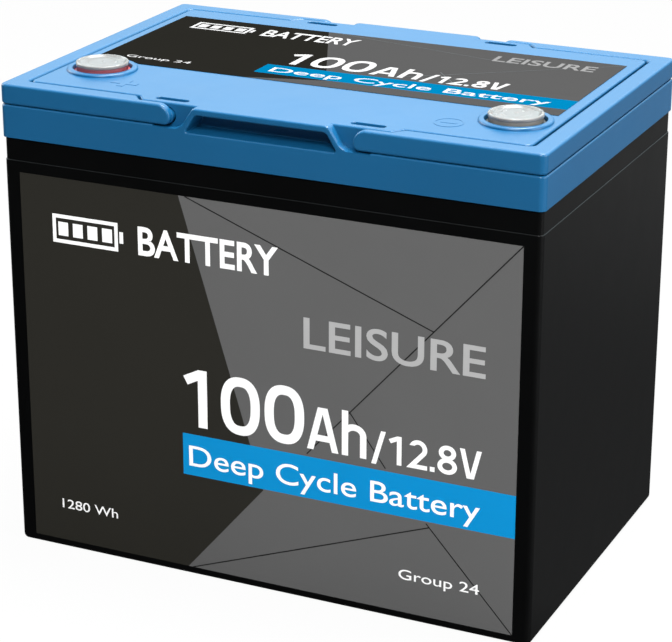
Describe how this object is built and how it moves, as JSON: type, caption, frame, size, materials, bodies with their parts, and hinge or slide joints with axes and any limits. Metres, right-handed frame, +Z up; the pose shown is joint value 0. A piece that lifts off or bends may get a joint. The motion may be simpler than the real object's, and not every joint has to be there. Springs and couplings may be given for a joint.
{
  "type": "deep cycle battery",
  "caption": "Rectangular deep cycle battery with fold-flat carrying handles, capped threaded terminals, and a lithium cell pack with its management board inside.",
  "frame": {"origin": "centre of the underside, on the surface that the battery stands on", "axes": "+X along the long side, from the positive terminal towards the negative; the face with the large label faces -Y; +Z up"},
  "size_m": [0.26, 0.173, 0.2289],
  "materials": {
    "black_shell": "satin",
    "blue_shell": "satin",
    "label_film": "satin",
    "terminal_brass": "polished",
    "red_ring": "satin",
    "black_ring": "satin",
    "seal_rubber": "matte",
    "cap_plastic": "satin",
    "cell_metal": "satin",
    "pack_metal": "satin",
    "tinned_copper": "satin",
    "zinc_steel": "satin",
    "pack_foam": "matte",
    "board_green": "satin",
    "insulating_sheet": "satin",
    "cable_red": "matte",
    "cable_black": "matte",
    "tray_plastic": "satin"
  },
  "bodies": {
    "battery": {"base_pad": "pack_foam", "board_screw_1": "zinc_steel", "board_screw_2": "zinc_steel", "board_screw_3": "zinc_steel", "board_screw_4": "zinc_steel", "board_tray": "tray_plastic", "busbar_1": "tinned_copper", "busbar_2": "tinned_copper", "busbar_3": "tinned_copper", "cable_output_negative": "cable_black", "cable_pack_negative": "cable_black", "cable_positive": "cable_red", "case": "black_shell", "cell_1": "cell_metal", "cell_2": "cell_metal", "cell_3": "cell_metal", "cell_4": "cell_metal", "cell_spacer_1": "insulating_sheet", "cell_spacer_2": "insulating_sheet", "cell_spacer_3": "insulating_sheet", "cell_top_sheet": "insulating_sheet", "end_plate_left": "pack_metal", "end_plate_right": "pack_metal", "heat_sink": "pack_metal", "label_front": "label_film", "label_top": "label_film", "lid": "blue_shell", "lid_seal": "seal_rubber", "management_board": "board_green", "pack_lug_negative": "tinned_copper", "pack_lug_positive": "tinned_copper", "pack_lug_screw_negative": "zinc_steel", "pack_lug_screw_positive": "zinc_steel", "radio_module": "board_green", "sense_wire_1": "cable_red", "sense_wire_2": "cable_black", "sense_wire_3": "cable_black", "sense_wire_4": "cable_black", "sense_wire_5": "cable_black", "side_pad_left": "pack_foam", "side_pad_right": "pack_foam", "strap_lower": "zinc_steel", "strap_upper": "zinc_steel", "temperature_sensor": "cable_black", "terminal_lug_negative": "tinned_copper", "terminal_lug_positive": "tinned_copper", "terminal_lug_screw_negative": "zinc_steel", "terminal_lug_screw_positive": "zinc_steel", "terminal_nut_negative": "zinc_steel", "terminal_nut_positive": "zinc_steel", "terminal_post_negative": "terminal_brass", "terminal_post_positive": "terminal_brass", "terminal_ring_negative": "black_ring", "terminal_ring_positive": "red_ring", "terminal_seal_negative": "seal_rubber", "terminal_seal_positive": "seal_rubber"},
    "handle_left": {"handle_left": "blue_shell"},
    "handle_right": {"handle_right": "blue_shell"},
    "terminal_cap_positive": {"terminal_cap_positive": "cap_plastic"},
    "terminal_cap_negative": {"terminal_cap_negative": "cap_plastic"}
  },
  "joints": [
    {"name": "handle_left_fold", "type": "hinge", "parent": "battery", "child": "handle_left", "pos_m": [-0.0465, 0, 0.2192], "axis": [0, 1, 0], "range_deg": [0, 120]},
    {"name": "handle_right_fold", "type": "hinge", "parent": "battery", "child": "handle_right", "pos_m": [0.0465, 0, 0.2192], "axis": [0, -1, 0], "range_deg": [0, 120]},
    {"name": "cap_positive_lift", "type": "slide", "parent": "battery", "child": "terminal_cap_positive", "axis": [0, 0, 1], "range_m": [0, 0.025]},
    {"name": "cap_negative_lift", "type": "slide", "parent": "battery", "child": "terminal_cap_negative", "axis": [0, 0, 1], "range_m": [0, 0.025]}
  ]
}
